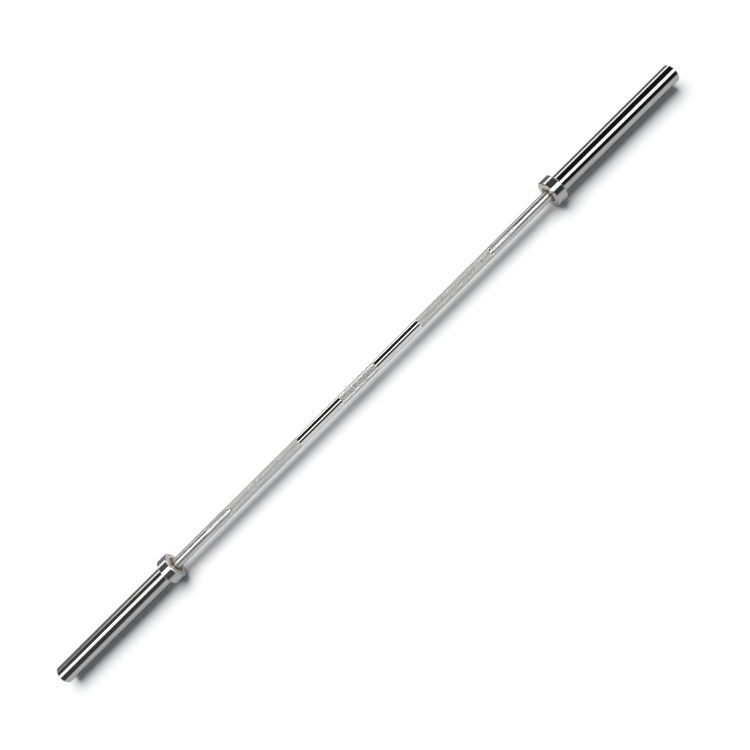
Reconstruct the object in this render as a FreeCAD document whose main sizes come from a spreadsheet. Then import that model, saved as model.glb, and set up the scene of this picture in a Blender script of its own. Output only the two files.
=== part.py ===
import FreeCAD, Part
import Sketcher
import os

# A barbell: one knurled shaft, and a sleeve with a stop collar that turns freely on each end.
# The bar lies along X, with the middle of the shaft at the origin and +Z up. Millimetres.

document = FreeCAD.newDocument("barbell")

# Driving dimensions

DIMENSIONS = (
    # Shaft, from its middle outwards
    ("shaft_diameter", 28),
    ("knurl_height", 0.15),
    ("centre_knurl_length", 120),
    ("smooth_length", 150),
    ("grip_knurl_length", 245),
    ("ring_mark_width", 5),
    ("ring_mark_depth", 0.3),
    ("outer_knurl_length", 78),
    ("plain_length", 117),
    ("shoulder_height", 1.5),
    ("shoulder_land", 1),
    ("shaft_end_land", 4),
    ("shaft_end_gap", 2),
    ("shaft_end_chamfer", 1),
    # Dust seal on the shaft, just inside the collar
    ("seal_inset", 0.5),
    ("seal_section", 2.4),
    ("seal_groove_depth", 1),
    ("seal_clearance", 0.1),
    ("seal_rim_clearance", 0.3),
    # Stop collar
    ("collar_diameter", 75),
    ("collar_width", 30),
    ("collar_chamfer", 2),
    ("mouth_step", 1.75),
    # Sleeve
    ("sleeve_diameter", 50),
    ("sleeve_length", 382),
    ("sleeve_end_chamfer", 2.5),
    ("spigot_step", 3),
    ("bore_gap", 1),
    # Bronze bushings
    ("running_clearance", 0.05),
    ("end_float", 0.3),
    ("bushing_wall", 3),
    ("bushing_relief", 1),
    ("flange_height", 3.5),
    ("flange_thickness", 3),
    ("flange_clearance", 0.5),
    ("rim_inset", 0.4),
    ("rim_wall", 2),
    ("inboard_bushing_length", 50),
    ("outboard_bushing_length", 40),
    # Washers on the end of the shaft
    ("washer_bore_clearance", 0.1),
    ("washer_rim_clearance", 1),
    ("thrust_washer_thickness", 2),
    ("shim_washer_thickness", 1),
    # Retaining rings, the outer one on the shaft and the inner one over the end cap
    ("ring_clearance", 0.05),
    ("ring_side_play", 0.1),
    ("shaft_ring_thickness", 1.2),
    ("shaft_ring_groove_depth", 0.6),
    ("shaft_ring_width", 2.5),
    ("shaft_ring_gap", 2.6),
    ("shaft_ring_lug_spacing", 6.6),
    ("shaft_ring_lug_offset", 0.8),
    ("shaft_ring_lug_diameter", 4.4),
    ("shaft_ring_eye_diameter", 2),
    ("cap_ring_thickness", 1.75),
    ("cap_ring_groove_depth", 1.25),
    ("cap_ring_width", 3),
    ("cap_ring_gap", 4),
    ("cap_ring_lug_spacing", 9),
    ("cap_ring_lug_offset", 1.5),
    ("cap_ring_lug_diameter", 6),
    ("cap_ring_eye_diameter", 2.5),
    # End cap
    ("cap_wall", 4),
    ("cap_lip", 3),
    ("cap_thickness", 4),
    ("cap_clearance", 0.1),
    ("cap_chamfer", 0.6),
    ("cap_rim_width", 6),
    ("cap_dish_depth", 1),
)

# Radii and stations that follow from the driving dimensions.
# A station is a distance from the middle of the bar, the same on both sides.

PLACES = (
    ("shaft_radius", "sizes.shaft_diameter / 2"),
    ("knurl_radius", "shaft_radius + sizes.knurl_height"),
    ("mark_radius", "shaft_radius - sizes.ring_mark_depth"),
    ("seal_groove_radius", "shaft_radius - sizes.seal_groove_depth"),
    ("seal_radius", "seal_groove_radius + sizes.seal_clearance + sizes.seal_section / 2"),
    ("rim_bore_radius", "seal_radius + sizes.seal_section / 2 + sizes.seal_rim_clearance"),
    ("rim_radius", "rim_bore_radius + sizes.rim_wall"),
    ("journal_radius", "shaft_radius - sizes.shoulder_height"),
    ("shaft_ring_groove_radius", "journal_radius - sizes.shaft_ring_groove_depth"),
    ("bushing_bore_radius", "journal_radius + sizes.running_clearance"),
    ("bushing_radius", "bushing_bore_radius + sizes.bushing_wall"),
    ("flange_radius", "bushing_radius + sizes.flange_height"),
    ("recess_radius", "flange_radius + sizes.flange_clearance"),
    ("mouth_radius", "recess_radius + sizes.mouth_step"),
    ("sleeve_radius", "sizes.sleeve_diameter / 2"),
    ("sleeve_bore_radius", "journal_radius + sizes.bore_gap"),
    ("spigot_radius", "sleeve_radius - sizes.spigot_step"),
    ("collar_radius", "sizes.collar_diameter / 2"),
    ("washer_bore_radius", "journal_radius + sizes.washer_bore_clearance"),
    ("washer_radius", "recess_radius - sizes.washer_rim_clearance"),
    ("cap_seat_radius", "sleeve_radius - sizes.cap_wall"),
    ("cap_radius", "cap_seat_radius - sizes.cap_clearance"),
    ("cap_groove_radius", "cap_seat_radius + sizes.cap_ring_groove_depth"),
    ("centre_knurl_end", "sizes.centre_knurl_length / 2"),
    ("smooth_end", "centre_knurl_end + sizes.smooth_length"),
    ("grip_knurl_end", "smooth_end + sizes.grip_knurl_length"),
    ("ring_mark_end", "grip_knurl_end + sizes.ring_mark_width"),
    ("outer_knurl_end", "ring_mark_end + sizes.outer_knurl_length"),
    ("collar_face", "outer_knurl_end + sizes.plain_length"),
    ("collar_stop", "collar_face + sizes.collar_width"),
    ("sleeve_end", "collar_stop + sizes.sleeve_length"),
    ("seal_groove_width", "sizes.seal_section + 2 * sizes.seal_clearance"),
    ("seal_groove_start", "collar_face + sizes.seal_inset"),
    ("seal_groove_end", "seal_groove_start + seal_groove_width"),
    ("seal_station", "seal_groove_start + seal_groove_width / 2"),
    ("shoulder", "seal_groove_end + sizes.shoulder_land"),
    ("rim_face", "collar_face + sizes.rim_inset"),
    ("inboard_flange_face", "shoulder + sizes.end_float"),
    ("sleeve_start", "inboard_flange_face + sizes.flange_thickness"),
    ("cap_groove_end", "sleeve_end - sizes.cap_lip"),
    ("cap_face", "cap_groove_end - sizes.cap_ring_thickness - sizes.ring_side_play"),
    ("cap_seat", "cap_face - sizes.cap_thickness"),
    ("shaft_end", "cap_seat - sizes.shaft_end_gap"),
    ("shaft_ring_groove_end", "shaft_end - sizes.shaft_end_land"),
    ("shaft_ring_face", "shaft_ring_groove_end - sizes.shaft_ring_thickness - sizes.ring_side_play"),
    ("shim_washer_face", "shaft_ring_face - sizes.shim_washer_thickness"),
    ("thrust_washer_face", "shim_washer_face - sizes.thrust_washer_thickness"),
    ("outboard_flange_face", "thrust_washer_face - sizes.end_float"),
    ("chamber_floor", "outboard_flange_face - sizes.flange_thickness"),
)


def write_cells(sheet, rows):
    """Write one named value on each row of a sheet."""
    for row, (name, value) in enumerate(rows, start=1):
        sheet.set(f"A{row}", name)
        sheet.set(f"B{row}", str(value))
        sheet.setAlias(f"B{row}", name)


sizes = document.addObject("Spreadsheet::Sheet", "sizes")
write_cells(sizes, DIMENSIONS)
document.recompute()
places = document.addObject("Spreadsheet::Sheet", "places")
write_cells(places, [(name, "=" + formula) for name, formula in PLACES])
document.recompute()

# Sketching helpers

# A sketch numbers the points of a line or circle from one, and its own axes downwards from minus one
START, END, CENTRE = range(1, 4)
ALONG_AXIS, ACROSS_AXIS = range(-1, -3, -1)
ORIGIN = ALONG_AXIS
ZERO = "0"


def value_of(formula):
    """The present value of a formula over the two sheets."""
    return float(places.evalExpression(formula))


def sketch_on(body, name, role):
    """A new sketch on one of the body's own origin planes."""
    sketch = body.newObject("Sketcher::SketchObject", name)
    plane = next(feature for feature in body.Origin.OriginFeatures if feature.Role == role)
    sketch.AttachmentSupport = [(plane, "")]
    sketch.MapMode = "FlatFace"
    return sketch


def hold_point(sketch, geometry, point, along, across):
    """Hold a point of a sketch at two formulas, its distances from the sketch's origin."""
    held = (("DistanceX", along, ACROSS_AXIS), ("DistanceY", across, ALONG_AXIS))
    for kind, formula, axis in held:
        if formula == ZERO:
            sketch.addConstraint(Sketcher.Constraint("PointOnObject", geometry, point, axis))
            continue
        constraint = Sketcher.Constraint(kind, ORIGIN, START, geometry, point, value_of(formula))
        index = sketch.addConstraint(constraint)
        sketch.setExpression(f"Constraints[{index}]", formula)


def draw_outline(sketch, corners):
    """A closed outline of straight lines, with every corner held."""
    points = [FreeCAD.Vector(value_of(along), value_of(across), 0) for along, across in corners]
    ends = points[1:] + points[:1]
    sketch.addGeometry([Part.LineSegment(start, end) for start, end in zip(points, ends)])
    for line in range(len(points)):
        following = (line + 1) % len(points)
        sketch.addConstraint(Sketcher.Constraint("Coincident", line, END, following, START))
    for line, (along, across) in enumerate(corners):
        hold_point(sketch, line, START, along, across)


def draw_circle(sketch, along, across, radius):
    """A circle with its centre and its radius held."""
    centre = FreeCAD.Vector(value_of(along), value_of(across), 0)
    circle = Part.Circle(centre, FreeCAD.Vector(0, 0, 1), value_of(radius))
    geometry = sketch.addGeometry(circle)
    index = sketch.addConstraint(Sketcher.Constraint("Radius", geometry, value_of(radius)))
    sketch.setExpression(f"Constraints[{index}]", radius)
    if along == ZERO and across == ZERO:
        sketch.addConstraint(Sketcher.Constraint("Coincident", geometry, CENTRE, ORIGIN, START))
    else:
        hold_point(sketch, geometry, CENTRE, along, across)


# Makers of the two kinds of piece: turned on a lathe, and stamped from sheet


def spin(body, label, section):
    """Spin a half section round the bar's axis."""
    turned = body.newObject("PartDesign::Revolution", f"{label}_turned")
    turned.Profile = section
    turned.ReferenceAxis = (section, ["H_Axis"])
    turned.Angle = 360
    return body


def turned_piece(label, corners):
    """A piece turned on a lathe: its half section, spun round the bar's axis."""
    body = document.addObject("PartDesign::Body", label)
    body.Label = label
    section = sketch_on(body, f"{label}_section", "XY_Plane")
    draw_outline(section, corners)
    return spin(body, label, section)


def stamp(body, feature, name, sketch, thickness):
    """Raise or cut a sketch of the YZ plane through the sheet's thickness, towards +X."""
    stamped = body.newObject(feature, name)
    stamped.Profile = sketch
    stamped.Reversed = feature == "PartDesign::Pocket"
    stamped.setExpression("Length", thickness)


def retaining_ring(label, ring, inner, outer, lug_height):
    """A stamped ring with a gap at its top and a lug with an eye on each side of the gap."""
    body = document.addObject("PartDesign::Body", label)
    body.Label = label
    thickness = f"sizes.{ring}_thickness"
    half_gap = f"sizes.{ring}_gap / 2"
    half_spacing = f"sizes.{ring}_lug_spacing / 2"
    band = sketch_on(body, f"{label}_band", "YZ_Plane")
    draw_circle(band, ZERO, ZERO, outer)
    draw_circle(band, ZERO, ZERO, inner)
    stamp(body, "PartDesign::Pad", f"{label}_blank", band, thickness)
    for side in ("", "-"):
        hand = "left" if side else "right"
        lug = sketch_on(body, f"{label}_{hand}_lug_outline", "YZ_Plane")
        draw_circle(lug, f"{side}{half_spacing}", lug_height, f"sizes.{ring}_lug_diameter / 2")
        stamp(body, "PartDesign::Pad", f"{label}_{hand}_lug", lug, thickness)
    gap = sketch_on(body, f"{label}_gap_outline", "YZ_Plane")
    gap_top = f"{outer} + sizes.{ring}_lug_diameter"
    draw_outline(gap, (
        (f"-{half_gap}", ZERO),
        (half_gap, ZERO),
        (half_gap, gap_top),
        (f"-{half_gap}", gap_top),
    ))
    stamp(body, "PartDesign::Pocket", f"{label}_gap", gap, thickness)
    eyes = sketch_on(body, f"{label}_eye_outlines", "YZ_Plane")
    for side in ("", "-"):
        draw_circle(eyes, f"{side}{half_spacing}", lug_height, f"sizes.{ring}_eye_diameter / 2")
    stamp(body, "PartDesign::Pocket", f"{label}_eyes", eyes, thickness)
    return body


def stand_at(piece, station, side):
    """Stand a piece at its station on the left or the right of the bar, facing outwards."""
    half_turn = 180 if side == "left" else 0
    sign = "-" if side == "left" else ""
    turned = FreeCAD.Rotation(FreeCAD.Vector(0, 0, 1), half_turn)
    piece.Placement = FreeCAD.Placement(FreeCAD.Vector(), turned)
    piece.setExpression("Placement.Base.x", f"{sign}({station})")
    return piece


# Shaft


def shaft():
    """The shaft: half of it is turned from its zones, then mirrored about the bar's middle."""
    zones = (
        ("places.knurl_radius", "places.centre_knurl_end"),
        ("places.shaft_radius", "places.smooth_end"),
        ("places.knurl_radius", "places.grip_knurl_end"),
        ("places.mark_radius", "places.ring_mark_end"),
        ("places.knurl_radius", "places.outer_knurl_end"),
        ("places.shaft_radius", "places.seal_groove_start"),
        ("places.seal_groove_radius", "places.seal_groove_end"),
        ("places.shaft_radius", "places.shoulder"),
        ("places.journal_radius", "places.shaft_ring_face"),
        ("places.shaft_ring_groove_radius", "places.shaft_ring_groove_end"),
        ("places.journal_radius", "places.shaft_end - sizes.shaft_end_chamfer"),
    )
    corners = [(ZERO, ZERO)]
    zone_start = ZERO
    for radius, zone_end in zones:
        corners.append((zone_start, radius))
        corners.append((zone_end, radius))
        zone_start = zone_end
    corners.append(("places.shaft_end", "places.journal_radius - sizes.shaft_end_chamfer"))
    corners.append(("places.shaft_end", ZERO))
    body = turned_piece("shaft", corners)
    mirrored = body.newObject("PartDesign::Mirrored", "shaft_mirrored")
    mirrored.Originals = [document.getObject("shaft_turned")]
    mirrored.MirrorPlane = (document.getObject("shaft_section"), ["V_Axis"])
    body.Tip = mirrored
    return body


# Pieces of one end, each drawn outwards from its own inboard face


def sleeve(label):
    """The sleeve: spigot, plate surface, bushing seats, ring chamber and end cap seat."""
    spigot_end = "places.collar_stop - places.sleeve_start"
    end = "places.sleeve_end - places.sleeve_start"
    chamber = "places.chamber_floor - places.sleeve_start"
    inboard_seat_end = "sizes.inboard_bushing_length + sizes.bushing_relief"
    outboard_seat_start = f"{chamber} - sizes.outboard_bushing_length - sizes.bushing_relief"
    seat = "places.cap_seat - places.sleeve_start"
    groove_start = "places.cap_face - places.sleeve_start"
    groove_end = "places.cap_groove_end - places.sleeve_start"
    return turned_piece(label, (
        (ZERO, "places.bushing_radius"),
        (ZERO, "places.spigot_radius"),
        (spigot_end, "places.spigot_radius"),
        (spigot_end, "places.sleeve_radius"),
        (f"{end} - sizes.sleeve_end_chamfer", "places.sleeve_radius"),
        (end, "places.sleeve_radius - sizes.sleeve_end_chamfer"),
        (end, "places.cap_seat_radius"),
        (groove_end, "places.cap_seat_radius"),
        (groove_end, "places.cap_groove_radius"),
        (groove_start, "places.cap_groove_radius"),
        (groove_start, "places.cap_seat_radius"),
        (seat, "places.cap_seat_radius"),
        (seat, "places.recess_radius"),
        (chamber, "places.recess_radius"),
        (chamber, "places.bushing_radius"),
        (outboard_seat_start, "places.bushing_radius"),
        (outboard_seat_start, "places.sleeve_bore_radius"),
        (inboard_seat_end, "places.sleeve_bore_radius"),
        (inboard_seat_end, "places.bushing_radius"),
    ))


def collar(label):
    """The stop collar: bored for the spigot, with a lip round the bushing's flange and a wider mouth."""
    mouth = "places.inboard_flange_face - places.collar_face"
    lip = "places.sleeve_start - places.collar_face"
    width = "sizes.collar_width"
    return turned_piece(label, (
        (mouth, "places.recess_radius"),
        (mouth, "places.mouth_radius"),
        (ZERO, "places.mouth_radius"),
        (ZERO, "places.collar_radius - sizes.collar_chamfer"),
        ("sizes.collar_chamfer", "places.collar_radius"),
        (f"{width} - sizes.collar_chamfer", "places.collar_radius"),
        (width, "places.collar_radius - sizes.collar_chamfer"),
        (width, "places.spigot_radius"),
        (lip, "places.spigot_radius"),
        (lip, "places.recess_radius"),
    ))


def inboard_bushing(label):
    """The bushing at the collar: its flange faces the middle of the bar, with a rim round the dust seal."""
    rim_floor = "places.inboard_flange_face - places.rim_face"
    flange = "places.sleeve_start - places.rim_face"
    end = f"{flange} + sizes.inboard_bushing_length"
    return turned_piece(label, (
        (rim_floor, "places.bushing_bore_radius"),
        (rim_floor, "places.rim_bore_radius"),
        (ZERO, "places.rim_bore_radius"),
        (ZERO, "places.rim_radius"),
        (rim_floor, "places.rim_radius"),
        (rim_floor, "places.flange_radius"),
        (flange, "places.flange_radius"),
        (flange, "places.bushing_radius"),
        (end, "places.bushing_radius"),
        (end, "places.bushing_bore_radius"),
    ))


def outboard_bushing(label):
    """The bushing at the sleeve's end: its flange faces outwards."""
    flange = "sizes.outboard_bushing_length"
    end = "sizes.outboard_bushing_length + sizes.flange_thickness"
    return turned_piece(label, (
        (ZERO, "places.bushing_bore_radius"),
        (ZERO, "places.bushing_radius"),
        (flange, "places.bushing_radius"),
        (flange, "places.flange_radius"),
        (end, "places.flange_radius"),
        (end, "places.bushing_bore_radius"),
    ))


def washer(label, thickness):
    """A flat washer on the journal."""
    return turned_piece(label, (
        (ZERO, "places.washer_bore_radius"),
        (ZERO, "places.washer_radius"),
        (thickness, "places.washer_radius"),
        (thickness, "places.washer_bore_radius"),
    ))


def thrust_washer(label):
    """The washer that runs on the outboard bushing's flange."""
    return washer(label, "sizes.thrust_washer_thickness")


def shim_washer(label):
    """The thin washer that sets the end float."""
    return washer(label, "sizes.shim_washer_thickness")


def end_cap(label):
    """The disc that closes the sleeve, dished inside its rim."""
    face = "sizes.cap_thickness"
    dish_floor = "sizes.cap_thickness - sizes.cap_dish_depth"
    dish_radius = "places.cap_radius - sizes.cap_rim_width"
    return turned_piece(label, (
        (ZERO, ZERO),
        (ZERO, "places.cap_radius"),
        (f"{face} - sizes.cap_chamfer", "places.cap_radius"),
        (face, "places.cap_radius - sizes.cap_chamfer"),
        (face, dish_radius),
        (dish_floor, f"{dish_radius} - sizes.cap_dish_depth"),
        (dish_floor, ZERO),
    ))


def shaft_seal(label):
    """The dust ring: rubber of round section, drawn across the bar's axis and spun round it."""
    body = document.addObject("PartDesign::Body", label)
    body.Label = label
    section = sketch_on(body, f"{label}_section", "XY_Plane")
    draw_circle(section, ZERO, "places.seal_radius", "sizes.seal_section / 2")
    return spin(body, label, section)


def shaft_retaining_ring(label):
    """The ring in the shaft's groove: its lugs stand outside its band."""
    inner = "places.shaft_ring_groove_radius + sizes.ring_clearance"
    outer = f"{inner} + sizes.shaft_ring_width"
    lug_height = f"{outer} + sizes.shaft_ring_lug_offset"
    return retaining_ring(label, "shaft_ring", inner, outer, lug_height)


def cap_retaining_ring(label):
    """The ring in the sleeve's groove: its lugs stand inside its band."""
    outer = "places.cap_groove_radius - sizes.ring_clearance"
    inner = f"{outer} - sizes.cap_ring_width"
    lug_height = f"{inner} - sizes.cap_ring_lug_offset"
    return retaining_ring(label, "cap_ring", inner, outer, lug_height)


def bar_end(side):
    """All the pieces of one end of the bar, each at its station."""
    stations = (
        (sleeve, "sleeve", "places.sleeve_start"),
        (collar, "collar", "places.collar_face"),
        (inboard_bushing, "inboard_bushing", "places.rim_face"),
        (outboard_bushing, "outboard_bushing", "places.chamber_floor - sizes.outboard_bushing_length"),
        (shaft_seal, "shaft_seal", "places.seal_station"),
        (thrust_washer, "thrust_washer", "places.thrust_washer_face"),
        (shim_washer, "shim_washer", "places.shim_washer_face"),
        (shaft_retaining_ring, "shaft_retaining_ring", "places.shaft_ring_face"),
        (end_cap, "end_cap", "places.cap_seat"),
        (cap_retaining_ring, "cap_retaining_ring", "places.cap_face"),
    )
    return [stand_at(make(f"{side}_{name}"), station, side) for make, name, station in stations]


pieces = [shaft()] + bar_end("left") + bar_end("right")
document.recompute()

# Every object has to be sound before anything is written

for item in document.Objects:
    if "Invalid" in item.State or "Error" in item.State:
        raise RuntimeError(f"{item.Label} failed: {item.State}")
for piece in pieces:
    if piece.Shape.isNull() or not piece.Shape.isValid():
        raise RuntimeError(f"{piece.Label} has no sound shape")

os.makedirs("parts", exist_ok=True)
for piece in pieces:
    piece.Shape.exportStep(f"parts/{piece.Label}.step")
    print(piece.Label, len(piece.Shape.Solids), "solid", round(piece.Shape.Volume), "mm3")
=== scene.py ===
import math

import bmesh
import bpy
from mathutils import Matrix, Vector


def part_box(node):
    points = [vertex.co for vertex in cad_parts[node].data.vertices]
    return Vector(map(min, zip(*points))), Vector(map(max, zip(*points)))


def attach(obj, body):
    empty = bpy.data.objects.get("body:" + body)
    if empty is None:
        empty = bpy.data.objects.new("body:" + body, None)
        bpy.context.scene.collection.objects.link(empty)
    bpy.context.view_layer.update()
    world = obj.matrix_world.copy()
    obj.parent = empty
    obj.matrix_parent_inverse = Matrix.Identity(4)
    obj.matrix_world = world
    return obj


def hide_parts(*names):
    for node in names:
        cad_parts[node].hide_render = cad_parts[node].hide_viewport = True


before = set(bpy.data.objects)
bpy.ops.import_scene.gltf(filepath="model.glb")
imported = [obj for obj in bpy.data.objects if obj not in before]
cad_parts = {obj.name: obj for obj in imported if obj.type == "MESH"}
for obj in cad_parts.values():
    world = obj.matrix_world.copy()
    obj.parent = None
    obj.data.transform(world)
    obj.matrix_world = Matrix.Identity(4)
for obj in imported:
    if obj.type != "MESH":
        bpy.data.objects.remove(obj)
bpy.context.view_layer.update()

# Sizes, in metres. A station is a distance from the middle of the bar, the same on both sides.


def span(node):
    """Inboard station, outboard station and outer radius of a turned piece on the right."""
    low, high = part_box(node)
    return low.x, high.x, high.y


COLLAR_FACE, COLLAR_STOP, COLLAR_RADIUS = span("right_collar")
SLEEVE_START, SLEEVE_END, SLEEVE_RADIUS = span("right_sleeve")
RIM_FACE, INBOARD_END, FLANGE_RADIUS = span("right_inboard_bushing")
OUTBOARD_START, OUTBOARD_FACE, _ = span("right_outboard_bushing")
THRUST_FACE, THRUST_END, WASHER_RADIUS = span("right_thrust_washer")
SHIM_FACE, SHIM_END, _ = span("right_shim_washer")
SHAFT_RING_FACE, SHAFT_RING_END, _ = span("right_shaft_retaining_ring")
CAP_SEAT, CAP_FACE, CAP_RADIUS = span("right_end_cap")
CAP_RING_FACE, CAP_RING_END, CAP_RING_RADIUS = span("right_cap_retaining_ring")
SEAL_START, SEAL_END, SEAL_RADIUS = span("right_shaft_seal")
_, SHAFT_END, CREST_RADIUS = span("shaft")

# Shaft zones, from the middle outwards
SHAFT_RADIUS = 0.0140
CENTRE_KNURL_END = 0.060
SMOOTH_END = 0.210
GRIP_KNURL_END = 0.455
RING_MARK_END = 0.460
OUTER_KNURL_END = 0.538
ZONE_BEVEL = 0.0004
RING_MARK_RADIUS = 0.0137
SEAL_GROOVE_RADIUS = 0.0130
SEAL_CLEARANCE = 0.0001
SHOULDER_LAND = 0.001
JOURNAL_RADIUS = 0.0125
RING_GROOVE_RADIUS = 0.0119
RING_SIDE_PLAY = 0.0001
SHAFT_END_CHAMFER = 0.001

# Knurling: diamonds round the shaft, the length of one, the depths of cut, and each zone's ends
KNURL_COUNT = 64
KNURL_ROW = 0.00245
CENTRE_KNURL_DEPTH = 0.00050
GRIP_KNURL_DEPTH = 0.00032
OUTER_KNURL_DEPTH = 0.00008
CENTRE_KNURL = (-CENTRE_KNURL_END, CENTRE_KNURL_END, CENTRE_KNURL_DEPTH)
GRIP_KNURL = (SMOOTH_END, GRIP_KNURL_END, GRIP_KNURL_DEPTH)
OUTER_KNURL = (RING_MARK_END, OUTER_KNURL_END, OUTER_KNURL_DEPTH)

# Collar, sleeve, bushings, washers and end cap: chamfers, walls and clearances
COLLAR_CHAMFER = 0.002
SLEEVE_CHAMFER = 0.0025
SPIGOT_STEP = 0.003
SLEEVE_CLEARANCE = 0.001
JOURNAL_CLEARANCE = 0.00005
BUSHING_WALL = 0.003
BUSHING_RELIEF = 0.001
FLANGE_THICKNESS = 0.003
FLANGE_CLEARANCE = 0.0005
MOUTH_WIDTH = 0.00175
SEAL_ROOM = 0.0003
RIM_WALL = 0.002
WASHER_CLEARANCE = 0.0001
CAP_CLEARANCE = 0.0001
CAP_CHAMFER = 0.0006
CAP_RIM = 0.006
CAP_DISH = 0.001
RING_CLEARANCE = 0.00005

# The radii, and the one station, that follow from them
SPIGOT_RADIUS = SLEEVE_RADIUS - SPIGOT_STEP
SLEEVE_BORE = JOURNAL_RADIUS + SLEEVE_CLEARANCE
BUSHING_BORE = JOURNAL_RADIUS + JOURNAL_CLEARANCE
BUSHING_RADIUS = BUSHING_BORE + BUSHING_WALL
RECESS_RADIUS = FLANGE_RADIUS + FLANGE_CLEARANCE
MOUTH_RADIUS = RECESS_RADIUS + MOUTH_WIDTH
RIM_BORE = SEAL_RADIUS + SEAL_ROOM
RIM_RADIUS = RIM_BORE + RIM_WALL
RIM_FLOOR = SLEEVE_START - FLANGE_THICKNESS
WASHER_BORE = JOURNAL_RADIUS + WASHER_CLEARANCE
CAP_SEAT_RADIUS = CAP_RADIUS + CAP_CLEARANCE
CAP_GROOVE_RADIUS = CAP_RING_RADIUS + RING_CLEARANCE

# Retaining rings: the band, the gap at its top, and the lugs with their plier eyes
SHAFT_RING_WIDTH = 0.0025
SHAFT_LUG_RISE = 0.0008
SHAFT_RING_INNER = RING_GROOVE_RADIUS + RING_CLEARANCE
SHAFT_RING_OUTER = SHAFT_RING_INNER + SHAFT_RING_WIDTH
SHAFT_RING_LUG_HEIGHT = SHAFT_RING_OUTER + SHAFT_LUG_RISE
SHAFT_RING_LUGS = {"gap": 0.0026, "spacing": 0.0066, "diameter": 0.0044, "eye": 0.0020}
CAP_RING_WIDTH = 0.003
CAP_LUG_DROP = 0.0015
CAP_RING_INNER = CAP_RING_RADIUS - CAP_RING_WIDTH
CAP_RING_LUG_HEIGHT = CAP_RING_INNER - CAP_LUG_DROP
CAP_RING_LUGS = {"gap": 0.0040, "spacing": 0.0090, "diameter": 0.0060, "eye": 0.0025}

# Rounding of turned and stamped edges, and how finely round pieces are divided
EDGE_ROUND = 0.0003
FINE_ROUND = 0.00015
STAMPED_ROUND = 0.00012
TURNED_SEGMENTS = 3
STAMPED_SEGMENTS = 2
LARGE_STEPS = 128
SMALL_STEPS = 96
EYE_STEPS = 32
MERGE_DISTANCE = 0.000001
SHARP_ANGLE = math.radians(28)
KNURL_SHARP_ANGLE = math.radians(9)
OVERRUN = 0.002
FLAT_FACE = 0.95


# Modelling helpers


def select_only(piece):
    """Make a piece the one selected, active object."""
    bpy.ops.object.select_all(action="DESELECT")
    piece.select_set(True)
    bpy.context.view_layer.objects.active = piece


def apply_modifier(piece, kind, **settings):
    """Add a modifier to a piece with these settings and apply it."""
    select_only(piece)
    bpy.ops.object.modifier_add(type=kind)
    modifier = piece.modifiers[-1]
    for setting, value in settings.items():
        setattr(modifier, setting, value)
    bpy.ops.object.modifier_apply(modifier=modifier.name)


def start_piece(name):
    """A new mesh with a single vertex at the origin, left in edit mode."""
    bpy.ops.object.select_all(action="DESELECT")
    bpy.ops.mesh.primitive_plane_add(size=1, calc_uvs=False)
    piece = bpy.context.object
    piece.name = name
    piece.data.name = name
    bpy.ops.object.mode_set(mode="EDIT")
    bpy.ops.mesh.select_mode(type="VERT")
    bpy.ops.mesh.select_all(action="SELECT")
    bpy.ops.mesh.merge(type="CENTER")
    return piece


def pick(kind, test):
    """In edit mode, select the vertices, edges or faces that pass a test, and nothing else."""
    bpy.ops.mesh.select_all(action="DESELECT")
    bpy.ops.mesh.select_mode(type=kind)
    mesh = bpy.context.object.data
    shape = bmesh.from_edit_mesh(mesh)
    parts = {"VERT": shape.verts, "EDGE": shape.edges, "FACE": shape.faces}[kind]
    for part in parts:
        part.select_set(bool(test(part)))
    shape.select_flush_mode()
    bmesh.update_edit_mesh(mesh)


def draw_outline(points, closed):
    """Draw a half section through its (station, radius) points, from the vertex that is selected."""
    station, radius = points[0]
    bpy.ops.transform.translate(value=(station, 0, radius))
    for (x0, r0), (x1, r1) in zip(points, points[1:]):
        step = {"value": (x1 - x0, 0, r1 - r0)}
        bpy.ops.mesh.extrude_vertices_move(TRANSFORM_OT_translate=step)
    if closed:
        pick("VERT", lambda vertex: len(vertex.link_edges) == 1)
        bpy.ops.mesh.edge_face_add()


def spin_outline(steps):
    """Spin the whole outline once round the bar's axis."""
    bpy.ops.mesh.select_all(action="SELECT")
    bpy.ops.mesh.spin(steps=steps, angle=math.tau, center=(0, 0, 0), axis=(1, 0, 0))
    bpy.ops.mesh.select_all(action="SELECT")
    bpy.ops.mesh.remove_doubles(threshold=MERGE_DISTANCE)


def finish_piece(piece, sharp_angle=SHARP_ANGLE):
    """Turn the faces outwards, leave edit mode, and shade rounds smooth and corners sharp."""
    bpy.ops.mesh.select_all(action="SELECT")
    bpy.ops.mesh.normals_make_consistent(inside=False)
    bpy.ops.object.mode_set(mode="OBJECT")
    bpy.ops.object.shade_smooth_by_angle(angle=sharp_angle)
    return piece


def edit(piece):
    """Open a finished piece in edit mode."""
    select_only(piece)
    bpy.ops.object.mode_set(mode="EDIT")


def assign_finishes(*tests):
    """In edit mode, give the faces that pass the first test the piece's second finish, and so on.

    The other faces keep the piece's first finish."""
    mesh = bpy.context.object.data
    shape = bmesh.from_edit_mesh(mesh)
    for place, test in enumerate(tests, start=1):
        for face in filter(test, shape.faces):
            face.material_index = place
    bmesh.update_edit_mesh(mesh)


def turned_piece(name, points, rounding, steps=LARGE_STEPS, closed=True, finishes=()):
    """A piece turned on a lathe: its half section with its corners rounded, spun round the bar's axis.

    finishes are tests for the faces of its second finish and so on. The shading of its large faces stays
    true right up to the rounded edges."""
    piece = start_piece(name)
    draw_outline(points, closed)
    pick("VERT", lambda vertex: len(vertex.link_edges) == 2)
    bpy.ops.mesh.bevel(offset=rounding, segments=TURNED_SEGMENTS, affect="VERTICES")
    spin_outline(steps)
    assign_finishes(*finishes)
    finish_piece(piece)
    apply_modifier(piece, "WEIGHTED_NORMAL", keep_sharp=True)
    return piece


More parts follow.
